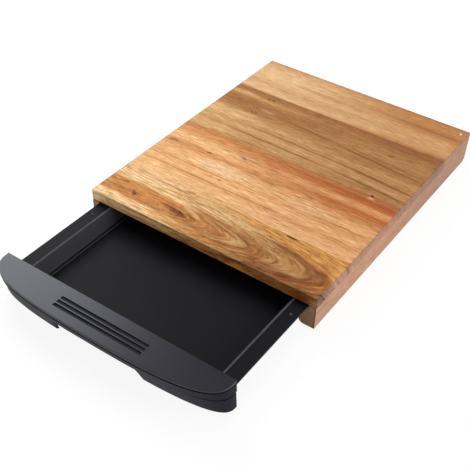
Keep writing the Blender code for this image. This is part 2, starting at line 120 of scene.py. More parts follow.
floor_finish = bpy.data.materials.new("white_paper_floor")
tree = new_tree(floor_finish)
rays = add(tree, "LightPath").node.outputs
seen = add(tree, "Math", rays["Is Camera Ray"], rays["Is Glossy Ray"], operation="MAXIMUM")
seen = add(tree, "Math", seen, rays["Is Transmission Ray"], operation="MAXIMUM")
shown = add(
    tree, "AddShader", add(tree, "Emission", (1, 1, 1, 1), FLOOR_GLOW),
    add(tree, "BsdfDiffuse", (FLOOR_SHADE, FLOOR_SHADE, FLOOR_SHADE, 1)),
)
bounced = add(tree, "BsdfDiffuse", (FLOOR_BOUNCE, FLOOR_BOUNCE, FLOOR_BOUNCE, 1))
add(tree, "OutputMaterial", add(tree, "MixShader", seen, bounced, shown))

floor_mesh = bpy.data.meshes.new("floor")
corners = np.array([(-1, -1, 0), (1, -1, 0), (1, 1, 0), (-1, 1, 0)]) * FLOOR_HALF
floor_mesh.from_pydata(corners.tolist(), [], [(0, 1, 2, 3)])
floor_mesh.materials.append(floor_finish)
floor = bpy.data.objects.new("floor", floor_mesh)
scene.collection.objects.link(floor)

# Each softbox: turn round the object from straight ahead and height above the floor, in degrees, distance,
# width and height in metres, and radiance
SOFTBOXES = {
    "window_softbox": (74, 40, 0.97, 0.52, 0.44, 7.0),
    "overhead_softbox": (20, 80, 1.6, 1.1, 1.1, 1.5),
    "right_softbox": (-85, 30, 2.0, 1.1, 1.1, 3.0),
}
for name, (turn_deg, height_deg, distance, wide, tall, radiance) in SOFTBOXES.items():
    turn, height = math.radians(turn_deg), math.radians(height_deg)
    away = Vector((-math.sin(turn) * math.cos(height), math.cos(turn) * math.cos(height), math.sin(height)))
    lamp_data = bpy.data.lights.new(name, "AREA")
    lamp_data.shape = "RECTANGLE"
    lamp_data.size = wide
    lamp_data.size_y = tall
    lamp_data.energy = radiance * math.pi * wide * tall
    lamp = bpy.data.objects.new(name, lamp_data)
    scene.collection.objects.link(lamp)
    lamp.location = AIMED_AT + away * distance
    lamp.rotation_euler = away.to_track_quat("Z", "Y").to_euler()
    lamp.visible_camera = False


# Front plank. Flat sawn acacia, planed, sanded and oiled, glued to the next plank along its rear edge. Its
# figure is a flame of nested ovals with dark outlines, and pale sapwood lies along both of its edges.
MM = 0.001
ARRIS = 0.0013
SEAM_REACH = 0.00012
ROUND_STEPS = 7
SHARP_ANGLE = math.radians(40)
MERGE_DISTANCE = 2e-6

board_left, board_front, slab_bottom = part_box("front_plank")[0]
board_right, board_back, slab_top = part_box("rear_plank")[1]

# Streaks of the wood: length and width in mm, least and most of the noise, and the share of the colour left
# in dark and in light parts. Real fibres and pores are under 0.3 mm wide, and the last three layers are drawn
# three to seven times as coarse so that they show.
GRAIN_LAYERS = (
    (150, 17, 0.30, 0.70, (0.91, 0.88, 0.84), (1.08, 1.09, 1.10)),
    (300, 2.0, 0.32, 0.66, (0.86, 0.80, 0.72), (1.09, 1.11, 1.13)),
    (55, 5.0, 0.30, 0.70, (0.95, 0.93, 0.90), (1.04, 1.05, 1.06)),
    (11, 2.0, 0.30, 0.70, (0.87, 0.79, 0.68), (1.10, 1.15, 1.22)),
    (16, 1.2, 0.30, 0.70, (0.60, 0.44, 0.22), (1.30, 1.42, 1.60)),
    (6, 1.0, 0.30, 0.43, (0.60, 0.40, 0.22), (1.0, 1.0, 1.0)),
)
OIL_TINT = (1.0, 0.965, 0.905, 1)
OILED_GLOSS = 0.2
PORE_STRENGTH = 0.25
PORE_DEPTH_MM = 0.05
GRAIN_WANDER_MM = (190, 34, 34)
WANDER_REACH_MM = 5.0
PATCH_RAGGED_MM = (14, 4, 4)
PATCH_RAGGED_REACH_MM = (8, 2.2, 0)
PATCH_DEPTH_MM = 60
RING_SLOPE = 0.6
OVAL_START_MM = 60
OVAL_AXIS_MM = 21.5
OVAL_SQUASH = 0.145
OVAL_SIDE_SHARE = 0.08
# End grain is mixed towards this grey over this depth below the top.
END_GREY = "#9C8784"
END_GREY_DEPTH_MM = 9
END_FACING = (0.45, 0.85)
# Painted highlight: the arrises along the grain are mixed towards this pale tone, strongest at the left end,
# nearest the window softbox.
ARRIS_HIGHLIGHT = "#F0D4AC"
ARRIS_HIGHLIGHT_FACING = (0.96, 0.76)
ARRIS_HIGHLIGHT_FADES_MM = (0, 220)
ARRIS_HIGHLIGHT_LEFT, ARRIS_HIGHLIGHT_RIGHT = 0.55, 0.12
BURNT_ARRIS = "#5A3A22"
BURNT_FACING = (-0.05, -0.25)


def colour_bands(tree, place, tones, bands):
    """Colours along a line through its bands, each a place in mm and the name of a tone."""
    start, end = bands[0][0], bands[-1][0]
    colour = add(tree, "ValToRGB", add(tree, "MapRange", place, start, end, 0.0, 1.0))
    stops = colour.node.color_ramp.elements
    stops.remove(stops[1])
    for index, (at, tone) in enumerate(bands):
        share = (at - start) / (end - start)
        stop = stops[0] if index == 0 else stops.new(share)
        stop.position = share
        stop.color = linear(tones[tone])
    return colour


def streaked(tree, colour, grain, order, strength):
    """A colour tinted by each layer of streaks, and the finest layer. Order says for each axis whether the
    layer's length or its width lies along it."""
    streak = None
    for length, width, least, most, dark, light in GRAIN_LAYERS:
        stretched = add(tree, "Mapping", grain, Scale=tuple((1 / length, 1 / width)[kind] for kind in order))
        streak = add(tree, "TexNoise", stretched, Scale=1.0, Detail=3.0, Roughness=0.55)
        streak = add(tree, "MapRange", streak, least, most, 0.0, 1.0)
        tint = add(tree, "Mix", streak, (*dark, 1), (*light, 1), data_type="RGBA")
        colour = add(tree, "Mix", strength, colour, tint, data_type="RGBA", blend_type="MULTIPLY")
    return colour, streak


def oil(tree, colour, roughness, streak):
    """Ends a wood's tree with the low gloss of oil, over pores that lie where the finest streaks are."""
    bump = add(tree, "Bump", Strength=PORE_STRENGTH, Distance=PORE_DEPTH_MM * MM, Height=streak)
    shader = add(
        tree, "BsdfPrincipled", Base_Color=colour, Roughness=roughness, IOR=1.45,
        Specular_IOR_Level=OILED_GLOSS, Normal=bump,
    )
    add(tree, "OutputMaterial", shader)


def acacia(name, tones, left, right, turn_over, patches, liveliness, ovals=False):
    """Oiled acacia with its grain along X. Places are in mm from the board's left, front and top. Bands of
    the plank's tones lie across it, one list at its left end and one at its right, that turn over between two
    places along it. They are read across the wandering grain, or where the right end has ovals, by the size
    of the oval that a point is on: the length of (x past the start, y off the axis over the squash). End
    grain, found by its normal, has its own tone and turns grey towards the top. Patches are soft ragged
    ellipses: x, y, half length, half width, tone, strength and any tilt in degrees. Streaks then tint the
    colour, as strongly as the plank is lively. The arrises along the grain, found by their normals, get a
    pale painted highlight, most at the left, and the left end's arris is burnt by the saw."""
    material = bpy.data.materials.new(name)
    tree = new_tree(material)
    origin = tuple(-value / MM for value in (board_left, board_front, slab_top))
    coordinates = add(tree, "TexCoord").node.outputs
    place = add(tree, "Mapping", coordinates["Object"], origin, (0, 0, 0), (1 / MM,) * 3)
    slow = add(tree, "Mapping", place, Scale=tuple(1 / size for size in GRAIN_WANDER_MM))
    wander = add(tree, "TexNoise", slow, Scale=1.0, Detail=2.0)
    wander = add(tree, "MapRange", wander, 0.0, 1.0, -WANDER_REACH_MM, WANDER_REACH_MM)
    grain = add(tree, "VectorMath", place, add(tree, "CombineXYZ", 0.0, wander, 0.0), operation="ADD")
    across = add(tree, "VectorMath", grain, (0, 1, RING_SLOPE), operation="DOT_PRODUCT").node.outputs["Value"]
    along = add(tree, "SeparateXYZ", grain)
    left_colour = colour_bands(tree, across, tones, left)
    if ovals:
        ahead = add(tree, "Math", along, OVAL_START_MM, operation="SUBTRACT")
        ahead = add(tree, "Math", ahead, 0.0, operation="MAXIMUM")
        aside = add(tree, "Math", across, OVAL_AXIS_MM, operation="SUBTRACT")
        aside = add(tree, "Math", aside, OVAL_SQUASH, operation="DIVIDE")
        reach = add(tree, "CombineXYZ", ahead, aside, 0.0)
        oval = add(tree, "VectorMath", reach, operation="LENGTH").node.outputs["Value"]
        right_colour = colour_bands(tree, oval, tones, right)
        ring = add(tree, "Math", oval, OVAL_SQUASH, operation="MULTIPLY")
        side = add(tree, "Math", across, OVAL_SIDE_SHARE, operation="MULTIPLY")
        grain = add(tree, "CombineXYZ", along, ring, side)
    else:
        right_colour = colour_bands(tree, across, tones, right)
    turned_over = add(tree, "MapRange", along, *turn_over, 0.0, 1.0, interpolation_type="SMOOTHSTEP")
    colour = add(tree, "Mix", turned_over, left_colour, right_colour, data_type="RGBA")
    facing = add(tree, "SeparateXYZ", add(tree, "VectorMath", coordinates["Normal"], operation="ABSOLUTE"))
    facing = facing.node.outputs
    leftwards = add(tree, "SeparateXYZ", coordinates["Normal"]).node.outputs["X"]
    burnt = add(tree, "MapRange", leftwards, *BURNT_FACING, 0.0, 0.75)
    colour = add(tree, "Mix", burnt, colour, linear(BURNT_ARRIS), data_type="RGBA")
    height = add(tree, "SeparateXYZ", place).node.outputs["Z"]
    top_greying = add(tree, "MapRange", height, -END_GREY_DEPTH_MM, 0.0, 0.0, 0.6)
    end_colour = add(tree, "Mix", top_greying, linear(tones["end_grain"]), linear(END_GREY), data_type="RGBA")
    end = add(tree, "MapRange", facing["X"], *END_FACING, 0.0, 0.85)
    colour = add(tree, "Mix", end, colour, end_colour, data_type="RGBA")
    ragged = add(tree, "Mapping", place, Scale=tuple(1 / size for size in PATCH_RAGGED_MM))
    ragged = add(tree, "TexNoise", ragged, Scale=1.0, Detail=3.0).node.outputs["Color"]
    ragged = add(tree, "VectorMath", ragged, (0.5, 0.5, 0.5), operation="SUBTRACT")
    ragged = add(tree, "VectorMath", ragged, PATCH_RAGGED_REACH_MM, operation="MULTIPLY")
    ragged = add(tree, "VectorMath", place, ragged, operation="ADD")
    for x, y, half_length, half_width, tone, strength, *tilt in patches:
        spot = add(
            tree, "Mapping", ragged, (x, y, 0), (0, 0, math.radians(sum(tilt))),
            (half_length, half_width, PATCH_DEPTH_MM), vector_type="TEXTURE",
        )
        spot = add(tree, "TexGradient", spot, gradient_type="SPHERICAL").node.outputs["Fac"]
        spot = add(tree, "MapRange", spot, 0.0, 0.6, 0.0, strength, interpolation_type="SMOOTHSTEP")
        colour = add(tree, "Mix", spot, colour, linear(tones[tone]), data_type="RGBA")
    colour = add(tree, "Mix", 1.0, colour, OIL_TINT, data_type="RGBA", blend_type="MULTIPLY")
    colour, streak = streaked(tree, colour, grain, (0, 1, 1), liveliness)
    # Painted highlight on the arrises along the grain, fading from the left end to the right.
    flat = add(tree, "Math", facing["Y"], facing["Z"], operation="MAXIMUM")
    flat = add(tree, "Math", add(tree, "Math", facing["X"], flat, operation="ADD"), 1.0, operation="MINIMUM")
    arris_highlight = add(tree, "MapRange", flat, *ARRIS_HIGHLIGHT_FACING, 0.0, 1.0)
    fading = add(tree, "MapRange", along, *ARRIS_HIGHLIGHT_FADES_MM, ARRIS_HIGHLIGHT_LEFT, ARRIS_HIGHLIGHT_RIGHT)
    arris_highlight = add(tree, "Math", arris_highlight, fading, operation="MULTIPLY")
    colour = add(tree, "Mix", arris_highlight, colour, linear(ARRIS_HIGHLIGHT), data_type="RGBA")
    oil(tree, colour, add(tree, "MapRange", streak, 0.0, 1.0, 0.62, 0.5), streak)
    return material


def skin(name, rings, material):
    """A closed solid through rings of points, an array of levels by points by three: each ring joins the next
    in quads, and a flat face closes the first and the last. Points that coincide are merged."""
    levels, around = rings.shape[:2]
    index = np.arange(levels * around).reshape(levels, around)
    after = np.roll(index, -1, axis=1)
    quads = np.stack([index[:-1], after[:-1], after[1:], index[1:]], axis=-1).reshape(-1, 4)
    shape = bmesh.new()
    mesh = bpy.data.meshes.new(name)
    ends = [index[0][::-1].tolist(), index[-1].tolist()]
    mesh.from_pydata(rings.reshape(-1, 3).tolist(), [], quads.tolist() + ends)
    shape.from_mesh(mesh)
    bmesh.ops.remove_doubles(shape, verts=shape.verts, dist=MERGE_DISTANCE)
    if shape.calc_volume(signed=True) < 0:
        bmesh.ops.reverse_faces(shape, faces=shape.faces)
    shape.to_mesh(mesh)
    shape.free()
    mesh.materials.append(material)
    mesh.shade_smooth()
    mesh.set_sharp_from_angle(angle=SHARP_ANGLE)
    piece = bpy.data.objects.new(name, mesh)
    scene.collection.objects.link(piece)
    return piece


def settle(piece, body, slot, *nodes):
    """Lets a piece ride on its body, in place of the nodes that it stands for; the slot is not used. Normals
    weighted by face size keep its flats flat up to their rounded edges."""
    piece.modifiers.new("flat_faces", "WEIGHTED_NORMAL").keep_sharp = True
    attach(piece, body)
    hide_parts(*nodes)


def arc(start_deg, end_deg, radius, along=0.0, up=0.0, steps=5):
    """Places (along, up) on a circle about a centre, from one angle to another."""
    angle = np.radians(np.linspace(start_deg, end_deg, steps))
    return radius * np.stack([np.cos(angle), np.sin(angle)], axis=-1) + (along, up)


def rounded_rectangle(low_x, low_y, high_x, high_y, radii):
    """An outline, counter-clockwise from the corner at high x and low y. Each corner is an arc of its own
    radius about a centre that far inside both of its sides."""
    corners = []
    for quarter, (x, y) in enumerate(((high_x, low_y), (high_x, high_y), (low_x, high_y), (low_x, low_y))):
        radius = radii[quarter]
        centre = (x - radius if x == high_x else x + radius, y - radius if y == high_y else y + radius)
        corners.append(arc(90 * quarter - 90, 90 * quarter, radius, *centre, ROUND_STEPS + 1))
    return np.concatenate(corners)


def plank(node, front_free, back_free, material):
    """A plank: its section in Y and Z, rounded at the free edges, carried along X, and drawn in at both ends
    by a quarter circle. At a seam it reaches half way over the glue line."""
    low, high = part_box(node)
    front = low.y if front_free else low.y - SEAM_REACH
    back = high.y if back_free else high.y + SEAM_REACH
    radii = [ARRIS * front_free, ARRIS * back_free, ARRIS * back_free, ARRIS * front_free]
    rings = []
    for depth, inset in arc(180, 270, ARRIS, ARRIS, ARRIS, ROUND_STEPS + 1):
        section = rounded_rectangle(
            low.z + inset, front + inset * front_free, high.z - inset, back - inset * back_free,
            [max(radius - inset, 0) for radius in radii],
        )
        rings.append(np.insert(section[:, ::-1], 0, low.x + depth, axis=1))
    rings = np.array(rings)
    mirrored = rings[::-1].copy()
    mirrored[..., 0] = low.x + high.x - mirrored[..., 0]
    return skin(node + "_acacia", np.concatenate([rings, mirrored]), material)


# The palest cream here serves only as painted light on the left end of the front face.
FRONT_TONES = {
    "cream": "#F8D5A4", "straw": "#EECA96", "honey": "#D4944D", "amber": "#CE8F4F", "chestnut": "#C88641",
    "russet": "#C0854A", "brown": "#B17943", "taupe": "#C3965F", "umber": "#93603A", "bark": "#89522E",
    "gold": "#DCA360", "copper": "#8C4710", "knot": "#602E04", "mark": "#7A532B", "ash": "#7F695A",
    "painted_light_cream": "#FFF0D8", "end_grain": "#BA8D70",
}
FRONT_LEFT = (
    (-10, "russet"), (-7, "honey"), (-4, "cream"), (9, "cream"), (13, "honey"), (17, "amber"), (26, "honey"),
    (32, "amber"), (36, "honey"), (40, "straw"), (46, "straw"), (51, "cream"), (62, "cream"),
)
FRONT_OVALS = (
    (0, "amber"), (18, "chestnut"), (52, "chestnut"), (70, "russet"), (90, "brown"), (97, "russet"),
    (109, "taupe"), (123, "taupe"), (128, "umber"), (133, "russet"), (155, "taupe"), (191, "taupe"),
    (200, "umber"), (207, "bark"), (218, "amber"), (245, "gold"), (300, "gold"),
)
# Patches that reach below y 0 also colour the front face. There the palest one at the left end is painted
# light, and the bark and knot ones at the right end are partly the dark heartwood there and partly painted
# shade.
FRONT_PATCHES = (
    (25, 4, 70, 7, "cream", 0.5), (110, 6, 70, 6, "honey", 0.7), (84, 50, 30, 12, "gold", 0.4),
    (262, 27, 24, 14, "umber", 0.5), (252, 30, 40, 22, "brown", 0.3), (200, 8, 44, 9, "brown", 0.3),
    (30, 22, 14, 4, "chestnut", 0.5), (40, 22, 7, 3, "copper", 0.9, -50),
    (41, 21, 4, 1.4, "knot", 0.7, -50), (125, 22.5, 25, 3, "russet", 0.5),
    (97, 22.5, 20, 3.2, "copper", 0.85, -6), (85, 26.3, 22, 1.5, "copper", 0.9, -2),
    (101, 24.5, 7, 1.8, "knot", 0.9, -15), (150, 51, 75, 9, "straw", 0.85, -4),
    (190, 52, 40, 6, "gold", 0.6, -6), (108, 33, 20, 5, "straw", 0.5, -20),
    (135, 43, 42, 4.5, "straw", 0.5, -10), (240, 52, 50, 9, "gold", 0.5), (240, 5, 70, 12, "bark", 0.68),
    (140, -6, 62, 8.5, "gold", 0.8), (264, -4, 26, 8, "knot", 0.75), (2, -6, 14, 10, "painted_light_cream", 0.9),
    (281, 4, 5.5, 26, "ash", 0.75), (88, 57.5, 9, 1.6, "brown", 0.7), (131, 50, 6, 0.9, "mark", 0.7),
    (150, 46, 4, 0.8, "mark", 0.7), (196, 48, 3, 1, "mark", 0.6), (209, 36, 2.2, 1.2, "mark", 0.7, 30),
    (214, 60, 12, 1.9, "knot", 1.0),
)
front_finish = acacia(
    "oiled_acacia_golden", FRONT_TONES, FRONT_LEFT, FRONT_OVALS, (70, 150), FRONT_PATCHES, 1.0, ovals=True
)
settle(plank("front_plank", True, False, front_finish), "board", "acacia_golden", "front_plank")


# Second plank. Salmon coloured acacia with a straight, fine grain, which reddens towards its rear right.
# It is glued to its neighbours along both edges and planed flush with them.
SECOND_TONES = {
    "peach": "#F9CC95", "apricot": "#F2BA82", "salmon": "#DC9F66", "sand": "#F1BD8B", "clay": "#E6AA76",
    "rust": "#C3743E", "brick": "#B26534", "line": "#A86E3A", "blush": "#DBA384", "mark": "#6E3A14",
    "knot": "#71503F", "pale": "#FFDFB8", "end_grain": "#CD9A7E",
}
SECOND_LEFT = (
    (62, "peach"), (74, "peach"), (84, "apricot"), (90, "peach"), (97, "apricot"), (104, "peach"),
    (114, "peach"), (125, "salmon"), (132, "apricot"), (141, "peach"), (153, "salmon"), (161, "salmon"),
)
SECOND_RIGHT = (
    (62, "sand"), (76, "sand"), (83, "clay"), (92, "sand"), (101, "clay"), (112, "sand"), (121, "clay"),
    (137, "rust"), (147, "clay"), (154, "rust"), (161, "brick"),
)
SECOND_PATCHES = (
    (15, 110, 45, 16, "salmon", 0.4), (88, 112, 40, 15, "pale", 0.6), (198, 111, 38, 13, "pale", 0.2),
    (60, 84.5, 80, 1.6, "line", 0.6), (165, 85, 60, 1.4, "line", 0.5),
    (65, 99, 75, 1.4, "line", 0.5, -0.5), (240, 104, 45, 1.5, "line", 0.55),
    (60, 129.5, 6, 1.8, "mark", 0.95), (35, 130, 45, 5, "line", 0.4), (12, 127, 10, 2.8, "mark", 0.6),
    (98, 145, 11, 9, "blush", 0.6), (98, 143.5, 4.5, 2, "knot", 0.7), (99, 94, 3.6, 2.2, "knot", 0.6),
    (130, 144, 50, 3, "rust", 0.5, -1), (143, 123, 17, 3, "line", 0.6), (130, 151, 12, 6, "rust", 0.5),
    (182, 124, 6, 2, "peach", 0.8, 12), (203, 126, 8, 2.4, "peach", 0.9, -10),
    (195, 128, 22, 1.6, "line", 0.6, -8), (186, 121.5, 14, 1.4, "line", 0.5, 4),
)
second_finish = acacia(
    "oiled_acacia_salmon", SECOND_TONES, SECOND_LEFT, SECOND_RIGHT, (40, 230), SECOND_PATCHES, 0.75
)
settle(plank("second_plank", False, False, second_finish), "board", "acacia_salmon", "second_plank")


# Third plank. Quarter sawn olive brown acacia, with straight dark and pale lines and a few pin knots. It
# is glued along both edges like the second.
THIRD_TONES = {
    "straw": "#DBB380", "oat": "#C99B66", "olive": "#B08050", "walnut": "#A57243", "orange": "#C88C52",
    "biscuit": "#C89968", "fawn": "#BF8F5D", "hazel": "#B38352", "brown": "#A56E46", "rust": "#BB794B",
    "line": "#855628", "pale": "#E6C293", "knot": "#5C3010", "ash": "#977E6B", "end_grain": "#BA8F77",
}
THIRD_LEFT = (
    (161, "orange"), (168, "orange"), (172, "straw"), (181, "straw"), (187, "oat"), (197, "straw"),
    (202, "oat"), (212, "straw"), (222, "oat"), (230, "olive"), (243, "walnut"), (255, "olive"),
    (262, "oat"), (268, "olive"), (276, "walnut"),
)
THIRD_RIGHT = (
    (161, "rust"), (168, "rust"), (172, "fawn"), (178, "hazel"), (182.5, "biscuit"), (196, "fawn"),
    (210, "biscuit"), (215, "hazel"), (230, "hazel"), (240, "fawn"), (256, "hazel"), (265, "brown"),
    (276, "brown"),
)
THIRD_PATCHES = (
    (15, 213, 50, 16, "pale", 0.5), (140, 255, 60, 18, "walnut", 0.5), (86, 181, 40, 18, "oat", 0.7),
    (110, 186.3, 95, 2.2, "line", 0.6, -0.7), (240, 187, 45, 2, "pale", 0.4, -3.5),
    (235, 182, 70, 2.4, "line", 0.75, -3.6), (130, 202, 90, 2.2, "line", 0.55, -1),
    (235, 198, 70, 2.8, "line", 0.75, -4), (85, 171.5, 80, 1.6, "line", 0.4),
    (120, 236, 60, 3, "line", 0.6, -3.5), (225, 226.5, 80, 2.6, "line", 0.65, -5),
    (230, 232.5, 50, 2, "line", 0.4, -3), (48, 222, 18, 3, "pale", 0.7),
    (65, 241, 16, 3, "pale", 0.4, -4), (18, 262, 24, 7, "straw", 0.6), (190, 252, 60, 3, "fawn", 0.5, 4),
    (281, 255, 6, 24, "ash", 0.6), (52, 230, 5.5, 3.4, "knot", 0.95), (52, 230.4, 2.6, 1.5, "oat", 0.9),
    (51, 266, 2.6, 1.9, "knot", 0.85), (56, 266.4, 2.6, 1.9, "knot", 0.85),
    (246, 165.5, 6, 2.4, "pale", 0.7), (245.5, 170, 3.4, 2.6, "knot", 0.95),
    (227, 248, 5, 3.4, "line", 0.6), (222, 244.5, 11, 1.6, "oat", 0.6),
)
third_finish = acacia(
    "oiled_acacia_olive", THIRD_TONES, THIRD_LEFT, THIRD_RIGHT, (40, 230), THIRD_PATCHES, 0.7
)
settle(plank("third_plank", False, False, third_finish), "board", "acacia_olive", "third_plank")


# Rear plank. Tan acacia with faint pale streaks and an orange brown band along the back edge. It is
# glued along its front edge only.
REAR_TONES = {
    "cream": "#EBC698", "peach": "#DFB68B", "tan": "#D2A57A", "ochre": "#DAAA76", "orange": "#CA915B",
    "brown": "#B17A4D", "streak": "#B48A58", "pale": "#F8E0C0", "end_grain": "#C2957C",
}
REAR_LEFT = (
    (276, "tan"), (281, "cream"), (292, "tan"), (302, "peach"), (316, "cream"), (328, "cream"),
    (338, "peach"), (346, "tan"), (350, "orange"),
)
REAR_RIGHT = (
    (276, "brown"), (280, "orange"), (284, "ochre"), (308, "ochre"), (318, "orange"), (323, "brown"),
    (330, "orange"), (344, "orange"), (350, "brown"),
)
REAR_PATCHES = (
    (22, 287, 42, 10, "cream", 0.5), (160, 288, 56, 9, "peach", 0.6),
    (115, 313, 75, 5, "streak", 0.5, -2), (120, 303, 90, 2.4, "cream", 0.5),
    (240, 285, 70, 5, "tan", 0.5), (272.5, 339, 1.6, 4, "pale", 0.95),
)
rear_finish = acacia("oiled_acacia_orange", REAR_TONES, REAR_LEFT, REAR_RIGHT, (40, 230), REAR_PATCHES, 0.55)
settle(plank("rear_plank", False, True, rear_finish), "board", "acacia_orange", "rear_plank")


# Side rails. Acacia glued under the board's side edges, with a rebate along the top of the inner side that
# carries the drawer's flange, rounded lower edges, and a large round at the back so that fingers get under.
REBATE_WIDTH = 0.010
REBATE_HEIGHT = 0.0035
GLUE_LINE = 0.0003
RAIL_UPPER_ROUND = 0.002
RAIL_LOWER_ROUND = 0.0055
RAIL_ARRIS = 0.001
RAIL_END_ARRIS = 0.0006
REAR_ROUND = 0.009
REAR_STEPS = 18
FOOT_POCKET_DEPTH = 0.0018
FOOT_CLEARANCE = 0.0003
SPACE_AROUND_CUT = 0.004
CIRCLE_SIDES = 64
RAIL_WOOD_FRONT, RAIL_WOOD_BACK = "#D8A88A", "#C49A82"
RAIL_DARKENS_MM = (40, 160)
RAIL_LIVELINESS = 0.45
# The rail ends' tone, and the darker tone of a rim round them.
RAIL_END, RAIL_END_RIM_TONE = "#B08C6A", "#5A3422"
END_RIM_BLEND_MM = 4
END_RIM_MM = (0.3, 1.5)

rail_low, rail_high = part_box("right_rail")


def rounded_outline(corners):
    """An outline through square corners (x, y, radius), each replaced by an arc that touches both sides."""
    corners = np.array(corners)
    places = corners[:, :2]
    backs = np.sign(np.roll(places, 1, axis=0) - places)
    aheads = np.sign(np.roll(places, -1, axis=0) - places)
    points = []
    for place, back, ahead, radius in zip(places, backs, aheads, corners[:, 2]):
        bend = arc(0, 90, radius, steps=ROUND_STEPS + 1 if radius else 1)
        points.append(place + (back + ahead) * radius - bend @ np.array([ahead, back]))
    return np.concatenate(points)


def shrunk(outline, inset):
    """An outline moved inwards by an inset, along the middle of each point's two sides."""
    ahead = np.roll(outline, -1, axis=0) - np.roll(outline, 1, axis=0)
    ahead /= np.linalg.norm(ahead, axis=1, keepdims=True)
    x, y = outline.T
    area = np.sum(x * np.roll(y, -1) - np.roll(x, -1) * y)
    inward = np.stack([-ahead[:, 1], ahead[:, 0]], axis=-1) * math.copysign(1, area)
    return outline + inward * inset


def combine(piece, tool, operation):
    """Cuts a tool out of a piece, or joins it on, and takes the result as the piece's mesh. The new faces
    have the tool's material."""
    modifier = piece.modifiers.new(tool.name, "BOOLEAN")
    modifier.operation = operation
    modifier.material_mode = "TRANSFER"
    modifier.object = tool
    evaluated = piece.evaluated_get(bpy.context.evaluated_depsgraph_get())
    mesh = bpy.data.meshes.new_from_object(evaluated)
    piece.modifiers.clear()
    piece.data = mesh
    mesh.set_sharp_from_angle(angle=SHARP_ANGLE)
    bpy.data.objects.remove(tool)


def circle(radius):
    angle = np.linspace(0, 2 * math.pi, CIRCLE_SIDES, endpoint=False)
    return radius * np.stack([np.cos(angle), np.sin(angle)], axis=-1)


def turned(name, centre, along, profile, material):
    """A turned solid: circles of the profile's radii at its heights along Y or Z, about a centre."""
    rings = []
    for radius, height in profile:
        ring = np.insert(circle(radius), "XYZ".index(along), height, axis=1)
        rings.append(ring + centre)
    return skin(name, np.array(rings), material)


def side_rail(node, side, feet, material):
    """A rail: its section in X and Z carried along Y, drawn in at the front end, with its underside lifted to
    a quarter circle at the back."""
    low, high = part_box(node)
    outer, inner = (high.x, low.x) if side > 0 else (low.x, high.x)
    rebate = inner + side * REBATE_WIDTH
    ledge = slab_bottom - REBATE_HEIGHT
    top = slab_bottom - GLUE_LINE / 6
    outline = rounded_outline([
        (outer, top, RAIL_ARRIS), (rebate, top, 0), (rebate, ledge, 0), (inner, ledge, RAIL_UPPER_ROUND),
        (inner, low.z, RAIL_LOWER_ROUND), (outer, low.z, RAIL_ARRIS),
    ])
    front = arc(180, 270, RAIL_END_ARRIS, low.y + RAIL_END_ARRIS, RAIL_END_ARRIS, ROUND_STEPS + 1)
    rear = arc(-90, 0, REAR_ROUND, high.y - REAR_ROUND, low.z + REAR_ROUND, REAR_STEPS)
    rings = []
    for y, inset, lowest in [(y, inset, low.z) for y, inset in front] + [(y, 0, lift) for y, lift in rear]:
        x, z = shrunk(outline, inset).T
        rings.append(np.column_stack([x, np.full(len(x), y), np.maximum(z, lowest)]))
    rail = skin(node + "_acacia", np.array(rings), material)
    for foot in feet:
        foot_low, foot_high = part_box(foot)
        middle = (foot_low + foot_high) / 2
        radius = (foot_high.x - foot_low.x) / 2 + FOOT_CLEARANCE
        pocket = turned(
            foot + "_pocket", (middle.x, middle.y, low.z), "Z",
            [(radius, -SPACE_AROUND_CUT), (radius, FOOT_POCKET_DEPTH)], material,
        )
        combine(rail, pocket, "DIFFERENCE")
    return rail


def rail_acacia(name, turn=0.0):
    """Plain pinkish acacia with its grain along Y, a little darker towards +Y. The ends are darker, with a
    darker rim where the smooth least of the distances to the four sides is small. A rail that lies
    across has its grain turned a quarter, and shows no end."""
    material = bpy.data.materials.new(name)
    tree = new_tree(material)
    coordinates = add(tree, "TexCoord").node.outputs
    place = add(tree, "Mapping", coordinates["Object"], (0, 0, 0), (0, 0, turn), (1 / MM,) * 3)
    away = add(tree, "SeparateXYZ", add(tree, "VectorMath", place, operation="ABSOLUTE")).node.outputs
    from_sides = [
        add(tree, "Math", rail_high.x / MM, away["X"], operation="SUBTRACT"),
        add(tree, "Math", away["X"], rail_low.x / MM, operation="SUBTRACT"),
        add(tree, "Math", away["Z"], rail_low.z / MM, operation="SUBTRACT"),
        add(tree, "Math", slab_bottom / MM, away["Z"], operation="SUBTRACT"),
    ]
    inside = from_sides[0]
    for distance in from_sides[1:]:
        inside = add(tree, "Math", inside, distance, END_RIM_BLEND_MM, operation="SMOOTH_MIN")
    rim = add(tree, "MapRange", inside, *END_RIM_MM, 1.0, 0.0)
    normal = add(tree, "VectorMath", coordinates["Normal"], operation="ABSOLUTE")
    end = add(tree, "SeparateXYZ", normal).node.outputs["Y"]
    end = add(tree, "MapRange", end, 0.5, 0.85, 0.0, 0.0 if turn else 1.0)
    end_colour = add(tree, "Mix", rim, linear(RAIL_END), linear(RAIL_END_RIM_TONE), data_type="RGBA")
    backwards = add(tree, "SeparateXYZ", place).node.outputs["Y"]
    backwards = add(tree, "MapRange", backwards, *RAIL_DARKENS_MM, 0.0, 1.0)
    colour = add(tree, "Mix", backwards, linear(RAIL_WOOD_FRONT), linear(RAIL_WOOD_BACK), data_type="RGBA")
    colour = add(tree, "Mix", end, colour, end_colour, data_type="RGBA")
    colour, streak = streaked(tree, colour, place, (1, 0, 1), RAIL_LIVELINESS)
    oil(tree, colour, 0.58, streak)
    return material


rail_finish = rail_acacia("oiled_acacia_rail")
for side_name, side in (("left", -1), ("right", 1)):
    rail = side_rail(
        f"{side_name}_rail", side, [f"front_{side_name}_foot", f"rear_{side_name}_foot"], rail_finish
    )
    settle(rail, "board", "acacia_rail", f"{side_name}_rail")


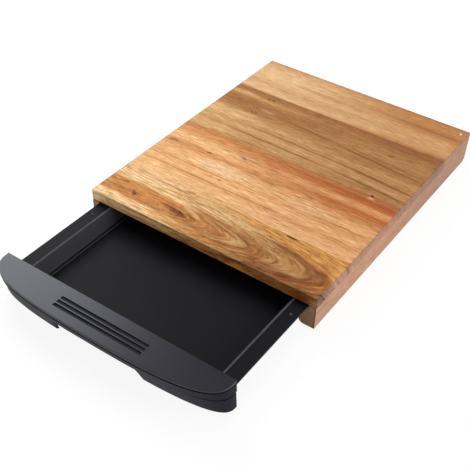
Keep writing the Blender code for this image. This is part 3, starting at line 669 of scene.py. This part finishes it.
# Rear rail. A cross piece of the same acacia, rounded below like the side rails. It is glued between them
# and under the board's back edge.
rear_low, rear_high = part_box("rear_rail")
curve = arc(-90, 0, REAR_ROUND, rear_high.y - REAR_ROUND, rear_low.z + REAR_ROUND, REAR_STEPS)
section = [(rear_low.y, rear_low.z), *curve, (rear_high.y, slab_bottom), (rear_low.y, slab_bottom)]
ends = np.array([np.insert(section, 0, x, axis=1) for x in (rear_low.x, rear_high.x)])
rear_rail = skin("rear_rail_acacia", ends, rail_acacia("oiled_acacia_rear_rail", math.pi / 2))
settle(rear_rail, "board", "acacia_rail", "rear_rail")


# Feet. Thin discs with a shallow dimple, pressed into pockets in the rails' undersides. Moulded rubber
# is near black, faintly mottled and matt.
FOOT_ARRIS = 0.0005
DIMPLE_RADIUS = 0.0026
DIMPLE_DEPTH = 0.0003
DIMPLE_CENTRE = 0.0002

foot_rubber = bpy.data.materials.new("moulded_rubber_black")
tree = new_tree(foot_rubber)
mottle = add(tree, "TexNoise", add(tree, "TexCoord").node.outputs["Object"], Scale=900.0, Detail=2.0)
colour = add(tree, "Mix", mottle, linear("#171717"), linear("#262625"), data_type="RGBA")
shader = add(
    tree, "BsdfPrincipled", Base_Color=colour, Roughness=0.8, IOR=1.52,
    Normal=add(tree, "Bump", Strength=0.3, Distance=0.03 * MM, Height=mottle),
)
add(tree, "OutputMaterial", shader)
for row in ("front", "rear"):
    for side_name in ("left", "right"):
        node = f"{row}_{side_name}_foot"
        low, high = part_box(node)
        radius = (high.x - low.x) / 2
        profile = [
            (DIMPLE_CENTRE, DIMPLE_DEPTH), (DIMPLE_RADIUS - DIMPLE_DEPTH, DIMPLE_DEPTH), (DIMPLE_RADIUS, 0),
            *arc(-90, 0, FOOT_ARRIS, radius - FOOT_ARRIS, FOOT_ARRIS), (radius, high.z - low.z),
        ]
        middle = (low + high) / 2
        foot = turned(node + "_rubber", (middle.x, middle.y, low.z), "Z", profile, foot_rubber)
        settle(foot, "board", "foot_rubber", node)


# Tray. One moulding in black polypropylene: walls that lean out a little, a flange along each side that runs
# in the rails' rebates, and a small ledge round the floor.
TRAY_WALL = 0.0025
TRAY_FLOOR = 0.002
TRAY_SIDE_LEAN = 0.0045
TRAY_BACK_LEAN = 0.003
TRAY_CORNER_ROUND = 0.008
TRAY_BOTTOM_ROUND = 0.0025
RIM_ROUND = 0.0009
FLANGE_FROM_RIM = 0.0028
FLANGE_THICKNESS = 0.0018
FLANGE_ROUND = 0.0004
FLOOR_STEP_WIDTH = 0.0025
FLOOR_STEP_HEIGHT = 0.001
INSIDE_ROUND = 0.002
RIM_HALF_OPENING = 0.1135
NUB_RADIUS = 0.0014
NUB_HEIGHT = 0.0009
NUB_TOP_DEG = 83.08
NUB_FROM_FRONT = 0.105
# Painted light: the tray's walls and edges are mixed towards this pale grey, and its rim gets a painted
# highlight of it.
PAINTED_LIGHT_GREY = "#77777E"
UPRIGHT_FACING = (0.97, 0.6)
RIM_HIGHLIGHT_FADE = 0.0004
RIM_PAINTED_HIGHLIGHT = 0.4

tray_low, tray_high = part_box("drawer_tray")
floor_top = tray_low.z + TRAY_FLOOR
step_top = floor_top + FLOOR_STEP_HEIGHT
flange_low = tray_high.z - FLANGE_FROM_RIM
flange_top = tray_high.z - FLANGE_FROM_RIM + FLANGE_THICKNESS


def moulded_plastic(name, hex_low, hex_high, roughness, gloss, sheen_tint, painted_edge_light, rim=10.0):
    """Moulded polypropylene with the fine spark texture of its tool, seen as a satin sheen with faint clouds.
    The texture's grains, about 0.2 mm, are drawn 0.5 mm wide so that they show. Edges and walls, where the
    normal leaves the upright, get painted light, and all above the height of a rim a painted highlight."""
    material = bpy.data.materials.new(name)
    tree = new_tree(material)
    coordinates = add(tree, "TexCoord").node.outputs
    place = coordinates["Object"]
    cloud = add(tree, "TexNoise", place, Scale=18.0, Detail=3.0)
    grains = add(tree, "TexNoise", place, Scale=2000.0, Detail=1.0)
    colour = add(tree, "Mix", cloud, linear(hex_low), linear(hex_high), data_type="RGBA")
    upright = add(tree, "SeparateXYZ", coordinates["Normal"]).node.outputs["Z"]
    # Painted light on edges and walls, and a painted highlight on all above the rim.
    edge = add(tree, "MapRange", upright, *UPRIGHT_FACING, 0.0, painted_edge_light)
    height = add(tree, "SeparateXYZ", place).node.outputs["Z"]
    above = add(tree, "MapRange", height, rim, rim + RIM_HIGHLIGHT_FADE, 0.0, RIM_PAINTED_HIGHLIGHT)
    edge = add(tree, "Math", edge, above, operation="MAXIMUM")
    colour = add(tree, "Mix", edge, colour, linear(PAINTED_LIGHT_GREY), data_type="RGBA")
    rough = add(tree, "MapRange", grains, 0.3, 0.7, roughness - 0.04, roughness + 0.04)
    bump = add(tree, "Bump", Strength=0.12, Distance=0.02 * MM, Height=grains)
    shader = add(
        tree, "BsdfPrincipled", Base_Color=colour, Roughness=rough, IOR=1.49,
        Specular_IOR_Level=gloss, Specular_Tint=sheen_tint, Normal=bump,
    )
    add(tree, "OutputMaterial", shader)
    return material


def tray_ring(height, out, flange=False):
    """The tray's outline at a height: a rounded rectangle that narrows with the drop below the rim, moved out
    by a distance. At the flange, each side moves out to a straight edge with square ends, this far inside the
    flange's own."""
    drop = (tray_high.z - height) / (tray_high.z - floor_top)
    half = RIM_HALF_OPENING - TRAY_SIDE_LEAN * drop + out
    front = tray_low.y + TRAY_WALL - out
    back = tray_high.y - TRAY_WALL - TRAY_BACK_LEAN * drop + out
    radius = TRAY_CORNER_ROUND + max(out, 0)
    ring = rounded_rectangle(-half, front, half, back, [radius] * 4)
    if flange is not False:
        edge = tray_high.x - flange
        steps = (ROUND_STEPS + 1) // 2
        share = np.linspace(0, 1, steps)
        corner = np.empty((ROUND_STEPS + 1, 2))
        corner[:steps, 0] = half - radius + (edge - half + radius) * share
        corner[:steps, 1] = tray_low.y
        corner[steps:, 0] = edge
        corner[steps:, 1] = tray_low.y + radius * (share + 1 / steps) / (1 + 1 / steps)
        rear = corner[::-1] * (1, -1) + (0, tray_low.y + tray_high.y)
        right = np.concatenate([corner, rear])
        ring = np.concatenate([right, right[::-1] * (-1, 1)])
    return np.insert(ring, 2, height, axis=1)


def make_tray(material):
    """The tray's section, from under the floor round the flange and the rim to the floor's top, carried round
    its outline. A place in it is the distance out from the rim's inside and the height, and on the flange the
    distance out from the flange's edge."""
    edge_round = FLOOR_STEP_HEIGHT / 2
    step_edge = INSIDE_ROUND / 2 + FLOOR_STEP_WIDTH
    outside = [
        *arc(-90, 0, TRAY_BOTTOM_ROUND, TRAY_WALL - TRAY_BOTTOM_ROUND, tray_low.z + TRAY_BOTTOM_ROUND),
        (TRAY_WALL, flange_low),
    ]
    flange = [
        *arc(-90, 0, FLANGE_ROUND, -FLANGE_ROUND, flange_low + FLANGE_ROUND, 4),
        *arc(0, 90, FLANGE_ROUND, -FLANGE_ROUND, flange_top - FLANGE_ROUND, 4),
    ]
    inside = [
        (TRAY_WALL, flange_top),
        *arc(0, 90, RIM_ROUND, TRAY_WALL - RIM_ROUND, tray_high.z - RIM_ROUND),
        *arc(90, 180, RIM_ROUND, RIM_ROUND, tray_high.z - RIM_ROUND),
        *arc(0, -90, INSIDE_ROUND, -INSIDE_ROUND, step_top + INSIDE_ROUND),
        *arc(90, 180, edge_round, edge_round - step_edge, step_top - edge_round, 4),
        *arc(0, -90, edge_round, -edge_round - step_edge, floor_top + edge_round, 4),
    ]
    rings = [tray_ring(height, out) for out, height in outside]
    rings += [tray_ring(height, TRAY_WALL, -out) for out, height in flange]
    rings += [tray_ring(height, out) for out, height in inside]
    return skin("drawer_tray_moulding", np.array(rings), material)


# The tray gets painted light on its walls and edges, and a painted highlight on its rim.
tray_plastic = moulded_plastic(
    "moulded_polypropylene_black", "#17161A", "#1E1D21", 0.5, 0.07, (0.92, 0.90, 1.0, 1), 0.3,
    tray_high.z - RIM_ROUND,
)
tray = make_tray(tray_plastic)
settle(tray, "drawer", "tray_plastic", "drawer_tray")
nub_x = (RIM_HALF_OPENING + TRAY_WALL + tray_high.x) / 2
dome = arc(0, NUB_TOP_DEG, 1.0, steps=7) * (NUB_RADIUS, NUB_HEIGHT)
for side_name, side in (("left", -1), ("right", 1)):
    centre = (side * nub_x, tray_low.y + NUB_FROM_FRONT, flange_top)
    nub = turned(f"{side_name}_tray_nub", centre, "Z", dome, tray_plastic)
    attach(nub, "drawer")


# Drawer front, lower part. A charcoal moulding, open underneath, whose bowed skirt leans in towards its foot,
# with a step and a shadow gap round it and a wide notch for the fingers. Bosses behind it take the screws.
CURVE_POWER = 3
CURVE_STEPS = 160
SKIRT_LEAN = 0.012
SKIRT_FLARE = 0.002
SKIRT_WALL = 0.0025
SKIRT_LOWER_ROUND = 0.0015
ROUND_SHARE = 0.9
BODY_ARRIS = 0.0006
STEP_DROP = 0.0155
STEP_DEPTH = 0.0008
GAP_DEPTH = 0.0024
GAP_ABOVE_STEP = 0.0018
GAP_BELOW_STEP = 0.0007
GAP_IN_BACK = 0.00002
NOTCH_BELOW_STEP = 0.0015
NOTCH_TOP_HALF = 0.0495
NOTCH_FOOT_HALF = 0.0525
NOTCH_BLEND = 0.0035
NOTCH_STEPS = 14
NOTCH_STEPS_FROM = 0.003
NOTCH_STEPS_PAST = 0.001
BOSS_RADIUS = 0.004
BOSS_LENGTH = 0.008
BORE_RADIUS = 0.0018

body_low, body_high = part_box("drawer_front_body")
plate_low, plate_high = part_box("drawer_front_plate")
front_back = plate_high.y
front_half = plate_high.x
front_depth = front_back - plate_low.y
step_z = plate_high.z - STEP_DROP
notch_top = step_z - NOTCH_BELOW_STEP
screw_boxes = [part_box(f"drawer_front_screw_{number}") for number in (1, 2, 3, 4)]
screw_centres = [((low.x + high.x) / 2, (low.z + high.z) / 2) for low, high in screw_boxes]

notch_x = np.linspace(NOTCH_TOP_HALF - NOTCH_STEPS_FROM, NOTCH_FOOT_HALF + NOTCH_STEPS_PAST, NOTCH_STEPS)
notch_x /= front_half + SKIRT_FLARE
notch_turn = np.arctan2((1 - notch_x**CURVE_POWER) ** (1 / CURVE_POWER), notch_x)
bow_turn = np.unique(np.concatenate([np.linspace(0, math.pi, CURVE_STEPS), notch_turn, math.pi - notch_turn]))
bow_size = np.abs(np.cos(bow_turn)) ** CURVE_POWER + np.abs(np.sin(bow_turn)) ** CURVE_POWER
bow_size **= -1 / CURVE_POWER


def bow_ring(height, half, depth, back):
    """Half a superellipse: across over half and out over depth, each to the power, add up to one. The ring
    closes along its straight back edge. Height, half and depth may differ from point to point."""
    x = half * bow_size * np.cos(bow_turn)
    y = front_back - back - (depth - back) * bow_size * np.sin(bow_turn)
    return np.column_stack([x, y, height * np.ones_like(x)])


def skirt_ring(height, inset, back=0.0):
    """The body's outline at a height, drawn in by an inset: it leans in and flares with the drop."""
    drop = (body_high.z - height) / (body_high.z - body_low.z)
    half = front_half + SKIRT_FLARE * drop - inset
    return bow_ring(height, half, front_depth - SKIRT_LEAN * drop - inset, back)


def notch_height():
    """The skirt's lower edge: at the notch it climbs a steep line up to a flat top, and where the two meet
    the lower of them is taken with a smooth blend."""
    x = np.abs((front_half + SKIRT_FLARE / 2) * bow_size * np.cos(bow_turn))
    climb = (notch_top - body_low.z) / (NOTCH_FOOT_HALF - NOTCH_TOP_HALF)
    line = body_low.z + (NOTCH_FOOT_HALF - x) * climb
    near = np.maximum(NOTCH_BLEND - np.abs(line - notch_top), 0) / NOTCH_BLEND
    return np.maximum(np.minimum(line, notch_top) - near**2 * NOTCH_BLEND / 4, body_low.z)


def make_front_body(material):
    """The body's section, from its top down the skirt, round its foot and up inside to its top's underside,
    carried round the bow. A place in it is a height, an inset and how far it is in from the back. The gap
    enters the flat back by a hair, so that its ledges have an area there."""
    foot = notch_height()
    wall = STEP_DEPTH + SKIRT_WALL
    web_bottom = body_high.z - SKIRT_WALL
    gap_top, gap_bottom = step_z + GAP_ABOVE_STEP, step_z - GAP_BELOW_STEP
    room = np.minimum(SKIRT_LOWER_ROUND, (gap_bottom - foot) * ROUND_SHARE)
    edge = arc(90, 0, BODY_ARRIS, -BODY_ARRIS, body_high.z - BODY_ARRIS)
    lower = arc(0, -90, 1.0, up=1.0, steps=6)
    section = [
        *((height, -along, -along) for along, height in edge),
        (gap_top, 0), (gap_top, GAP_DEPTH, GAP_IN_BACK),
        (gap_bottom, GAP_DEPTH, GAP_IN_BACK), (gap_bottom, STEP_DEPTH),
        *((foot + room * up, STEP_DEPTH + SKIRT_LOWER_ROUND * (1 - along)) for along, up in lower),
        (foot, wall - BODY_ARRIS / 2, SKIRT_WALL - BODY_ARRIS / 2),
        (foot + BODY_ARRIS / 2, wall, SKIRT_WALL), (web_bottom - BODY_ARRIS, wall, SKIRT_WALL),
        (web_bottom, wall + BODY_ARRIS, SKIRT_WALL + BODY_ARRIS),
    ]
    rings = [skirt_ring(*place) for place in section]
    body = skin("drawer_front_moulding", np.array(rings), material)
    tip = -SKIRT_WALL - BOSS_LENGTH
    boss = [(BOSS_RADIUS, tip), (BOSS_RADIUS, -SKIRT_WALL / 2)]
    bore = [(BORE_RADIUS, tip - SPACE_AROUND_CUT), (BORE_RADIUS, SPACE_AROUND_CUT)]
    for number, (x, z) in enumerate(screw_centres, 1):
        centre = (x, front_back, z)
        combine(body, turned(f"screw_boss_{number}", centre, "Y", boss, material), "UNION")
        combine(body, turned(f"screw_bore_{number}", centre, "Y", bore, material), "DIFFERENCE")
    return body


body_plastic = moulded_plastic(
    "matt_moulded_polypropylene_charcoal", "#1D1A24", "#25212D", 0.6, 0.13, (0.86, 0.84, 1.0, 1), 0.0
)
front_body = make_front_body(body_plastic)
settle(front_body, "drawer", "front_plastic", "drawer_front_body")


# Drawer front, top plate. A charcoal moulding, flush with the board, that stands on a smaller step, so that a
# dark line runs under its edge. It has three grip grooves with rounded ends, and pegs that hold it.
PLATE_THICKNESS = 0.003
PLATE_ARRIS = 0.00025
REVEAL_DEPTH = 0.0013
GROOVE_COUNT = 3
GROOVE_LENGTH = 0.103
GROOVE_WIDTH = 0.0034
GROOVE_PITCH = 0.0052
GROOVE_DEPTH = 0.0014
GROOVE_FOOT_ROUND = 0.0004
GROOVE_LIP = 0.0002
GROOVE_END_ROUND = 0.0011
FIRST_GROOVE_FROM_BACK = 0.0147
PEG_COUNT = 4
PEG_RADIUS = 0.0025
PEG_HEAD_RADIUS = 0.0034
PEG_HEAD_HEIGHT = 0.001
PEG_FROM_BACK = 0.018
PEG_FROM_END = 0.045


def make_plate(material, groove_material):
    """The plate's section, from its top round the edge and the step to its underside, carried round the bow.
    Each groove is cut by a slot whose section has a rounded lip, upright walls and a rounded foot. Headed
    pegs go down through the body."""
    bottom = plate_high.z - PLATE_THICKNESS
    edge = arc(90, 0, PLATE_ARRIS, -PLATE_ARRIS, plate_high.z - PLATE_ARRIS, 7)
    step = (front_half - REVEAL_DEPTH, front_depth - REVEAL_DEPTH, REVEAL_DEPTH)
    section = [
        *((height, front_half + along, front_depth + along, -along / 2) for along, height in edge),
        (bottom + GLUE_LINE, front_half, front_depth, 0),
        (bottom, front_half - GLUE_LINE, front_depth - GLUE_LINE, GLUE_LINE),
        (bottom, *step), (body_high.z + GLUE_LINE, *step),
    ]
    rings = [bow_ring(*place) for place in section]
    plate = skin("drawer_front_top_plate", np.array(rings), material)
    profile = [
        (GROOVE_LIP, SPACE_AROUND_CUT), (GROOVE_LIP, 0), (GROOVE_LIP / 4, -GROOVE_LIP / 2),
        *arc(0, -90, GROOVE_FOOT_ROUND, -GROOVE_FOOT_ROUND, GROOVE_FOOT_ROUND - GROOVE_DEPTH),
    ]
    for row in range(GROOVE_COUNT):
        y = front_back - FIRST_GROOVE_FROM_BACK - GROOVE_PITCH * row
        slot_rings = []
        for out, rise in profile:
            slot = rounded_rectangle(
                -GROOVE_LENGTH / 2 - out, y - GROOVE_WIDTH / 2 - out, GROOVE_LENGTH / 2 + out,
                y + GROOVE_WIDTH / 2 + out, [GROOVE_END_ROUND + out] * 4,
            )
            slot_rings.append(np.insert(slot, 2, plate_high.z + rise, axis=1))
        combine(plate, skin(f"grip_groove_{row}", np.array(slot_rings), groove_material), "DIFFERENCE")
    peg = [(PEG_HEAD_RADIUS - GLUE_LINE, 0), (PEG_HEAD_RADIUS, GLUE_LINE), (PEG_HEAD_RADIUS, PEG_HEAD_HEIGHT)]
    peg += [(PEG_RADIUS, PEG_HEAD_HEIGHT), (PEG_RADIUS, bottom - plate_low.z)]
    peg_end = front_half - PEG_FROM_END
    for number, x in enumerate(np.linspace(-peg_end, peg_end, PEG_COUNT), 1):
        centre = (x, front_back - PEG_FROM_BACK, plate_low.z)
        combine(plate, turned(f"plate_peg_{number}", centre, "Z", peg, material), "UNION")
    return plate


plate_plastic = moulded_plastic(
    "satin_moulded_polypropylene_charcoal", "#18171E", "#1E1C25", 0.31, 0.32, (0.84, 0.87, 1.0, 1), 0.0
)
groove_plastic = moulded_plastic(
    "matt_moulded_polypropylene_groove", "#2B2B33", "#31313A", 0.6, 0.08, (0.90, 0.92, 1.0, 1), 0.0
)
plate = make_plate(plate_plastic, groove_plastic)
settle(plate, "drawer", "front_plastic", "drawer_front_plate")


# Screws. Four steel pan head screws with a cross recess, driven forwards from inside the tray. Their zinc
# plating is a cool light grey with a soft, slightly cloudy shine.
HEAD_HEIGHT = 0.0018
HEAD_DOME_SHARE = 0.75
DOME_FROM = 0.05
DOME_STEPS = 20
RECESS_REACH = 0.0019
RECESS_END_SLOPE = 0.0002
RECESS_DEPTH = 0.0009
RECESS_HALF_WIDTH = 0.0004
RECESS_SIDE_SLOPE = 0.0001
SHAFT_RADIUS = 0.0015
THREAD_DEPTH = 0.0003
THREAD_PITCH = 0.0012
THREAD_STEPS = 90
POINT_SHARE = 1 / 6
POINT_LEFT = 0.12

screw_zinc = bpy.data.materials.new("zinc_plated_steel")
tree = new_tree(screw_zinc)
cloud = add(tree, "TexNoise", add(tree, "TexCoord").node.outputs["Object"], Scale=700.0, Detail=3.0)
colour = add(tree, "Mix", cloud, linear("#A9ABAD"), linear("#C9CBCD"), data_type="RGBA")
rough = add(tree, "MapRange", cloud, 0.3, 0.7, 0.28, 0.42)
add(tree, "OutputMaterial", add(tree, "BsdfPrincipled", Base_Color=colour, Metallic=1.0, Roughness=rough))


def make_screw(name, low, high, material):
    """A screw on a grid of angle and distance along its section: a domed head, sunk where a cross lies over
    it, then a shaft whose radius follows the thread's ramp, and a point."""
    head_radius = (high.x - low.x) / 2
    head_under = high.y - HEAD_HEIGHT
    across, up = circle(1.0).T
    dome = np.linspace(DOME_FROM, 1, DOME_STEPS)[:, None]
    radius = head_radius * np.sin(dome * math.pi / 2)
    top = high.y - HEAD_HEIGHT * HEAD_DOME_SHARE * (1 - np.cos(dome * math.pi / 2))
    off_arm = np.minimum(np.abs(up), np.abs(across)) * radius
    sunk = np.clip((RECESS_HALF_WIDTH - off_arm) / RECESS_SIDE_SLOPE, 0, 1)
    sunk *= np.clip((RECESS_REACH - radius) / RECESS_END_SLOPE, 0, 1)
    head = np.stack([radius * across, top - RECESS_DEPTH * sunk, radius * up], axis=-1)
    run = np.linspace(0, 1, THREAD_STEPS)[:, None]
    shaft_y = head_under - run * (head_under - low.y)
    turns = (shaft_y / THREAD_PITCH + np.arange(CIRCLE_SIDES) / CIRCLE_SIDES) % 1
    point = np.clip((1 - run) / POINT_SHARE, POINT_LEFT, 1)
    core = (SHAFT_RADIUS - THREAD_DEPTH * np.abs(2 * turns - 1)) * point
    shaft = np.stack([core * across, shaft_y * np.ones_like(core), core * up], axis=-1)
    under = np.insert(circle(head_radius), 1, head_under, axis=1)
    middle = np.array([(low.x + high.x) / 2, 0, (low.z + high.z) / 2])
    return skin(name, np.concatenate([head, under[None], shaft]) + middle, material)


for number, (low, high) in enumerate(screw_boxes, 1):
    screw = make_screw(f"front_screw_{number}_zinc", low, high, screw_zinc)
    settle(screw, "drawer", "screw_steel", f"drawer_front_screw_{number}")
